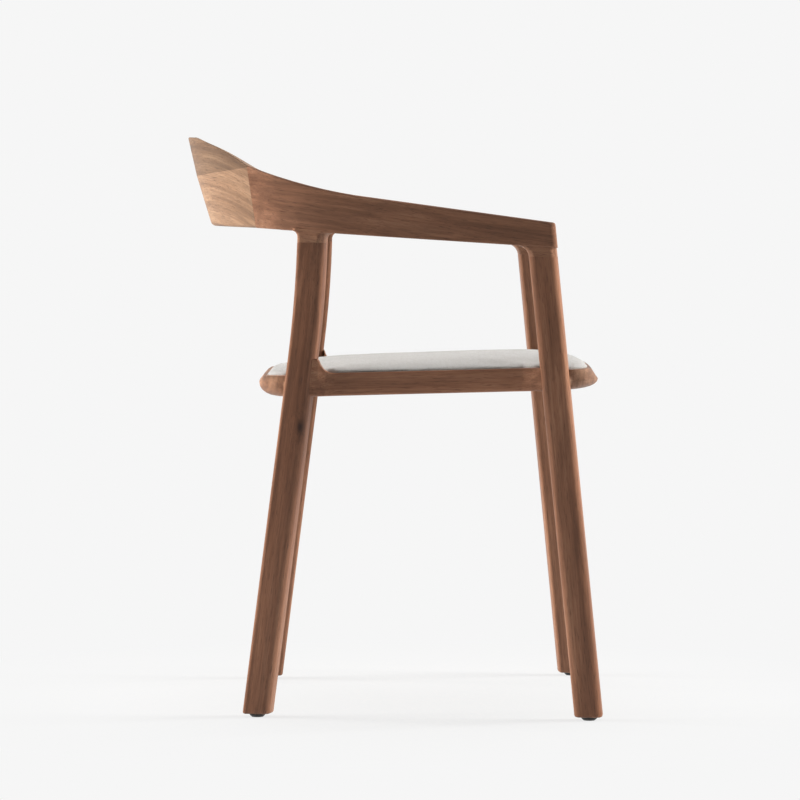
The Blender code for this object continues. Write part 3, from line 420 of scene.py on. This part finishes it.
def grain_places(points, along, bends):
    """Where each point lies in its timber: along the grain, and across it from a bent middle line."""
    length = points[:, along]
    across = [axis for axis in range(3) if axis != along]
    middles = [np.polyfit(length, points[:, axis], bend) for axis, bend in zip(across, bends)]
    offsets = [points[:, axis] - np.polyval(middle, length) for axis, middle in zip(across, middles)]
    return np.stack([length, *offsets], axis=1)


def carve(name, work):
    """Works the side rails into the legs, raises the lips of the others, and closes the glue lines."""
    normals = [vertex.normal.copy() for vertex in work.verts]
    for vertex, normal in zip(work.verts, normals):
        outward = math.copysign(1.0, vertex.co.x)
        if name.startswith("side_rail") and normal.x * outward > FACING:
            for end, swell_by in RAIL_ENDS:
                share = max(0.0, 1 - abs(vertex.co.y - end) / RAIL_SWELL_RUN)
                vertex.co.x += outward * swell_by * share ** 2
                vertex.co.y += math.copysign(RAIL_REACH * share ** 4, end)
        if name in NOSE_LIPS and seat_height(vertex.co) > NOSE_TOP:
            start, rise = NOSE_LIPS[name]
            if vertex.co.y / start > 1:
                vertex.co.z += rise
        fuller = vertex.co + normal * GLUE_FILL
        vertex.co = [min(max(value, least), most) for value, least, most in zip(fuller, *cad_box)]


def even_normals(mesh):
    """Shades a bent piece evenly: a vertex takes the mean normal of the neighbours that face its way."""
    normals = np.zeros((len(mesh.vertices), 3))
    for face in mesh.polygons:
        normals[list(face.vertices)] += np.array(face.normal) * face.area
    normals /= np.linalg.norm(normals, axis=1, keepdims=True)
    first, second = np.array([edge.vertices for edge in mesh.edges]).T
    for _ in range(EVEN_STEPS):
        close = (normals[first] * normals[second]).sum(axis=1) > math.cos(math.radians(EVEN_ANGLE))
        total = normals.copy()
        np.add.at(total, first[close], normals[second[close]])
        np.add.at(total, second[close], normals[first[close]])
        normals = total / np.linalg.norm(total, axis=1, keepdims=True)
    mesh.normals_split_custom_set_from_vertices(normals)


def tint_with_painted_shade(name, tint, face, lowest):
    """Colour of the board at a face, whose lowest point is given. The backrest's rear facet above the fold
    gets painted shade.
    """
    painted_shade_facet = name == "backrest" and face.normal.y > FACING and lowest > FOLD_Z
    share = FOLD_PAINTED_SHADE if painted_shade_facet else 1.0
    return (*[share * level for level in tint], 1.0)


def dress_wood(name, material, cut):
    """A finished copy of a wooden node, with eased edges and grain that follows its shape."""
    along, bends, tint = WOOD[name]
    work = bmesh.new()
    work.from_mesh(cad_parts[name].data)
    bmesh.ops.remove_doubles(work, verts=work.verts, dist=WELD)
    bmesh.ops.dissolve_limit(work, angle_limit=math.radians(FLAT_ANGLE), verts=work.verts, edges=work.edges)
    work.normal_update()
    carve(name, work)
    for face in work.faces:
        face.smooth = True
    ease_edges(work)
    mesh = bpy.data.meshes.new(name + "_wood")
    work.to_mesh(mesh)
    work.free()
    points = points_of(mesh)
    places = grain_places(points, along, bends) + np.array(GRAIN_STEP) * cut
    # each face's board tint, darkened as painted shade on the backrest's upper rear facet
    tints_with_painted_shade = [tint_with_painted_shade(name, tint, face, points[list(face.vertices), 2].min()) * len(face.vertices)
             for face in mesh.polygons]
    mesh.attributes.new("grain", "FLOAT_VECTOR", "POINT").data.foreach_set("vector", places.ravel())
    mesh.attributes.new("tint", "FLOAT_COLOR", "CORNER").data.foreach_set("color", np.concatenate(tints_with_painted_shade))
    mesh.materials.append(material)
    piece = add_object(name + "_wood", mesh)
    if name.startswith("arm"):
        even_normals(mesh)
    else:
        piece.modifiers.new("even_shading", "WEIGHTED_NORMAL").keep_sharp = True
    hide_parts(name)
    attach(piece, "root")


# Upholstered seat

def pad_shell():
    """The CAD cover's outer surface, closed below, and lowered to leave room for swelling."""
    work = bmesh.new()
    work.from_mesh(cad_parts["seat_cover"].data)
    bmesh.ops.remove_doubles(work, verts=work.verts, dist=WELD)
    low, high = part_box("seat_cover")
    core = Vector((0.0, (low[1] + high[1]) / 2, low[2]))
    inner = [face for face in work.faces if face.normal.dot(face.calc_center_median() - core) < 0]
    bmesh.ops.delete(work, geom=inner, context="FACES")
    rim = [edge for edge in work.edges if edge.is_boundary]
    under = bmesh.ops.holes_fill(work, edges=rim)["faces"]
    bmesh.ops.inset_region(work, faces=under, thickness=PANEL_RIM, use_even_offset=True)
    hollow = list({vertex for face in under for vertex in face.verts})
    bmesh.ops.translate(work, verts=hollow, vec=(0, 0, PANEL_ROOM))
    for vertex in work.verts:
        above = max(0.0, seat_height(vertex.co) - PAD_BASE)
        vertex.co.z -= above * (1 - PAD_START)
    mesh = bpy.data.meshes.new("seat_pad")
    work.to_mesh(mesh)
    work.free()
    return add_object("seat_pad", mesh)


def even_mesh(pad):
    """Gives the pad a mesh of even fineness, wrapped round its first shape."""
    shell = add_object("pad_shell", pad.data.copy())
    remesh = pad.modifiers.new("remesh", "REMESH")
    remesh.mode = "VOXEL"
    remesh.voxel_size = PAD_VOXEL
    fit = pad.modifiers.new("fit", "SHRINKWRAP")
    fit.target = shell
    fit.wrap_mode = "ABOVE_SURFACE"
    fit.offset = PAD_LAP
    apply_modifiers(pad)
    bpy.data.objects.remove(shell)


def swell(pad):
    """Blows the pad up against its fabric, held along its lower edge, and caps how far it moves."""
    start = points_of(pad.data)
    held = pad.vertex_groups.new(name="held")
    held.add([v.index for v in pad.data.vertices if seat_height(v.co) < PAD_BASE], 1.0, "REPLACE")
    cloth = pad.modifiers.new("cloth", "CLOTH")
    cloth.settings.vertex_group_mass = "held"
    cloth.settings.use_pressure = True
    cloth.settings.uniform_pressure_force = PAD_PRESSURE
    cloth.settings.effector_weights.gravity = 0.0
    for step in range(1, PAD_FRAMES + 1):
        bpy.context.scene.frame_set(step)
    apply_modifiers(pad)
    bpy.context.scene.frame_set(1)
    moved = points_of(pad.data) - start
    reach = np.linalg.norm(moved, axis=1, keepdims=True)
    share = PAD_CAP * np.tanh(reach / PAD_CAP) / np.maximum(reach, STILL)
    pad.data.vertices.foreach_set("co", (start + moved * share).ravel())


def fit_crown(pad):
    """Brings the swollen crown to its height, and flattens it towards the middle."""
    points = points_of(pad.data)
    cover = points_of(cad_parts["seat_cover"].data)
    crown = seat_height(cover.T).max() - PAD_BASE
    above = np.maximum(seat_height(points.T) - PAD_BASE, 0.0)
    rise = above * CROWN_SHARE * crown / above.max()
    points[:, 2] += rise - CROWN_EASE * rise ** 2 - above
    pad.data.vertices.foreach_set("co", points.ravel())


def soften(pad):
    """Evens out the crown and makes the whole mesh finer and rounder."""
    relax = pad.modifiers.new("relax", "SMOOTH")
    relax.iterations = RELAX_STEPS
    relax.vertex_group = "crown"
    rounder = pad.modifiers.new("rounder", "SUBSURF")
    rounder.levels = 1
    rounder.render_levels = 1
    apply_modifiers(pad)


def tuck_skirt(pad):
    """Draws the fabric's lower edge down onto the seat frame and turns it under."""
    points = points_of(pad.data)
    outward = np.array([vertex.normal for vertex in pad.data.vertices])
    below = np.maximum(0.0, SKIRT_TOP - seat_height(points.T))
    share = np.minimum(1.0, below / SKIRT_HEIGHT) ** 2
    middle = (points[:, :2].min(axis=0) + points[:, :2].max(axis=0)) / 2
    outside = (outward[:, :2] * (points[:, :2] - middle)).sum(axis=1) > 0
    points[:, :2] -= outward[:, :2] * (SKIRT_TUCK * share * outside)[:, None]
    points[:, 2] -= SKIRT_DROP * share
    pad.data.vertices.foreach_set("co", points.ravel())


def make_panel(material):
    """The plywood under the foam, a little smaller than the fabric that wraps its edge."""
    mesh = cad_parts["seat_panel"].data.copy()
    low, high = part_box("seat_panel")
    middle = (low[1] + high[1]) / 2
    for vertex in mesh.vertices:
        vertex.co.x *= PANEL_SHARE
        vertex.co.y = middle + (vertex.co.y - middle) * PANEL_SHARE
    coat(mesh, material)
    panel = add_object("seat_plywood", mesh)
    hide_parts("seat_panel")
    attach(panel, "root")


def make_pad(material):
    """The seat's cover and foam as one padded piece."""
    pad = pad_shell()
    even_mesh(pad)
    crown = pad.vertex_groups.new(name="crown")
    crown.add([v.index for v in pad.data.vertices if seat_height(v.co) > PAD_BASE], 1.0, "REPLACE")
    swell(pad)
    fit_crown(pad)
    coat(pad.data, material)
    soften(pad)
    tuck_skirt(pad)
    pad.vertex_groups.clear()
    pad.data.shade_smooth()
    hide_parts("seat_cover", "seat_foam")
    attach(pad, "root")


def dress_hidden_pieces():
    """Finishes for the joinery, the fasteners and the glides, which keep their CAD shapes."""
    beech = bare_timber("bare_beech", *BEECH)
    steel = plated_steel()
    nylon = charcoal_nylon()
    finishes = {"tenon": beech, "block_screw": steel, "corner_block": beech, "seat_screw": steel,
                "glide_nail": steel, "glide": nylon}
    for name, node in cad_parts.items():
        for word, material in finishes.items():
            if word in name:
                coat(node.data, material)
                break


# Studio

def backdrop_share(tree):
    """1 for rays that should see the plain backdrop."""
    rays = add(tree, "LightPath").outputs
    seen = compute(tree, "MAXIMUM", rays["Is Camera Ray"], rays["Is Glossy Ray"])
    return compute(tree, "MAXIMUM", seen, rays["Is Transmission Ray"])


def make_world():
    world = bpy.data.worlds.new("studio")
    world.use_nodes = True
    tree = world.node_tree
    tree.nodes.clear()
    around = add(tree, "Background", {"Color": WHITE, "Strength": AMBIENT}).outputs[0]
    seen = add(tree, "Background", {"Color": WHITE, "Strength": BACKGROUND}).outputs[0]
    both = add(tree, "MixShader", {0: backdrop_share(tree), 1: around, 2: seen}).outputs[0]
    add(tree, "OutputWorld", {"Surface": both})
    bpy.context.scene.world = world


def pale_floor():
    """Shows the chair's shadow near it and fades into the backdrop."""
    material = bpy.data.materials.new("pale_floor")
    material.use_nodes = True
    tree = material.node_tree
    tree.nodes.clear()
    matt = add(tree, "BsdfDiffuse", {"Color": FLOOR_COLOUR}).outputs[0]
    glow = add(tree, "Emission", {"Color": WHITE, "Strength": BACKGROUND}).outputs[0]
    reach = compute_vector(tree, "LENGTH", own_place(tree), output="Value")
    shown = remap(tree, reach, SHADOW_REACH * SHADOW_FULL, SHADOW_REACH, 1 - SHADOW_SHARE, 1.0)
    share = compute(tree, "MULTIPLY", backdrop_share(tree), shown)
    both = add(tree, "MixShader", {0: share, 1: matt, 2: glow}).outputs[0]
    add(tree, "OutputMaterial", {"Surface": both})
    return material


def make_sheet(name, corners, material):
    """A flat sheet between four corners."""
    mesh = bpy.data.meshes.new(name)
    mesh.from_pydata(corners, [], [(0, 1, 2, 3)])
    mesh.materials.append(material)
    return add_object(name, mesh)


def make_floor():
    corners = [(side * FLOOR_REACH, end * FLOOR_REACH, 0)
               for side, end in ((-1, -1), (1, -1), (1, 1), (-1, 1))]
    floor = make_sheet("floor", corners, pale_floor())


def make_screen():
    corners = [(SCREEN_X, end * SCREEN_WIDTH / 2, level * SCREEN_HEIGHT)
               for end, level in ((-1, 0), (1, 0), (1, 1), (-1, 1))]
    felt = make_finish("dark_felt", Base_Color=SCREEN_COLOUR, Roughness=1.0)[0]
    screen = make_sheet("screen", corners, felt)
    screen.visible_camera = False


def make_lights():
    """The lamps, left out of reflections, where they would show as white squares."""
    for name, (place, aim, width, height, power) in LIGHTS.items():
        light = bpy.data.lights.new(name, "AREA")
        light.shape = "RECTANGLE"
        light.size = width
        light.size_y = height
        light.energy = power
        lamp = add_object(name, light)
        lamp.location = place
        lamp.rotation_euler = (Vector(aim) - Vector(place)).to_track_quat("-Z", "Y").to_euler()
        lamp.visible_glossy = False


def make_camera():
    data = bpy.data.cameras.new("camera")
    data.lens = CAMERA_LENS
    camera = add_object("camera", data)
    camera.location = CAMERA_AT
    camera.rotation_euler = (math.radians(90 - CAMERA_TILT), 0.0, math.radians(-90 - CAMERA_PAN))
    bpy.context.scene.camera = camera


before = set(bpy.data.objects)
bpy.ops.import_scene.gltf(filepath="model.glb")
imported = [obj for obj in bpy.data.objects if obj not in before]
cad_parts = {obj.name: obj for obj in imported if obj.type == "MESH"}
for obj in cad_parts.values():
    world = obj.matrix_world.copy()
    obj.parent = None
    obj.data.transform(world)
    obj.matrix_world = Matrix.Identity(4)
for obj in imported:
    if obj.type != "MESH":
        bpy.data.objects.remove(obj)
cad_box = [[float(value) for value in corner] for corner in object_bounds()]
oiled = walnut()
for cut, name in enumerate(WOOD):
    dress_wood(name, oiled, cut)
dress_hidden_pieces()
make_panel(bare_timber("birch_plywood", *PLYWOOD))
make_pad(heather_weave())
make_world()
make_floor()
make_screen()
make_lights()
make_camera()
bpy.context.scene.view_settings.view_transform = "Standard"
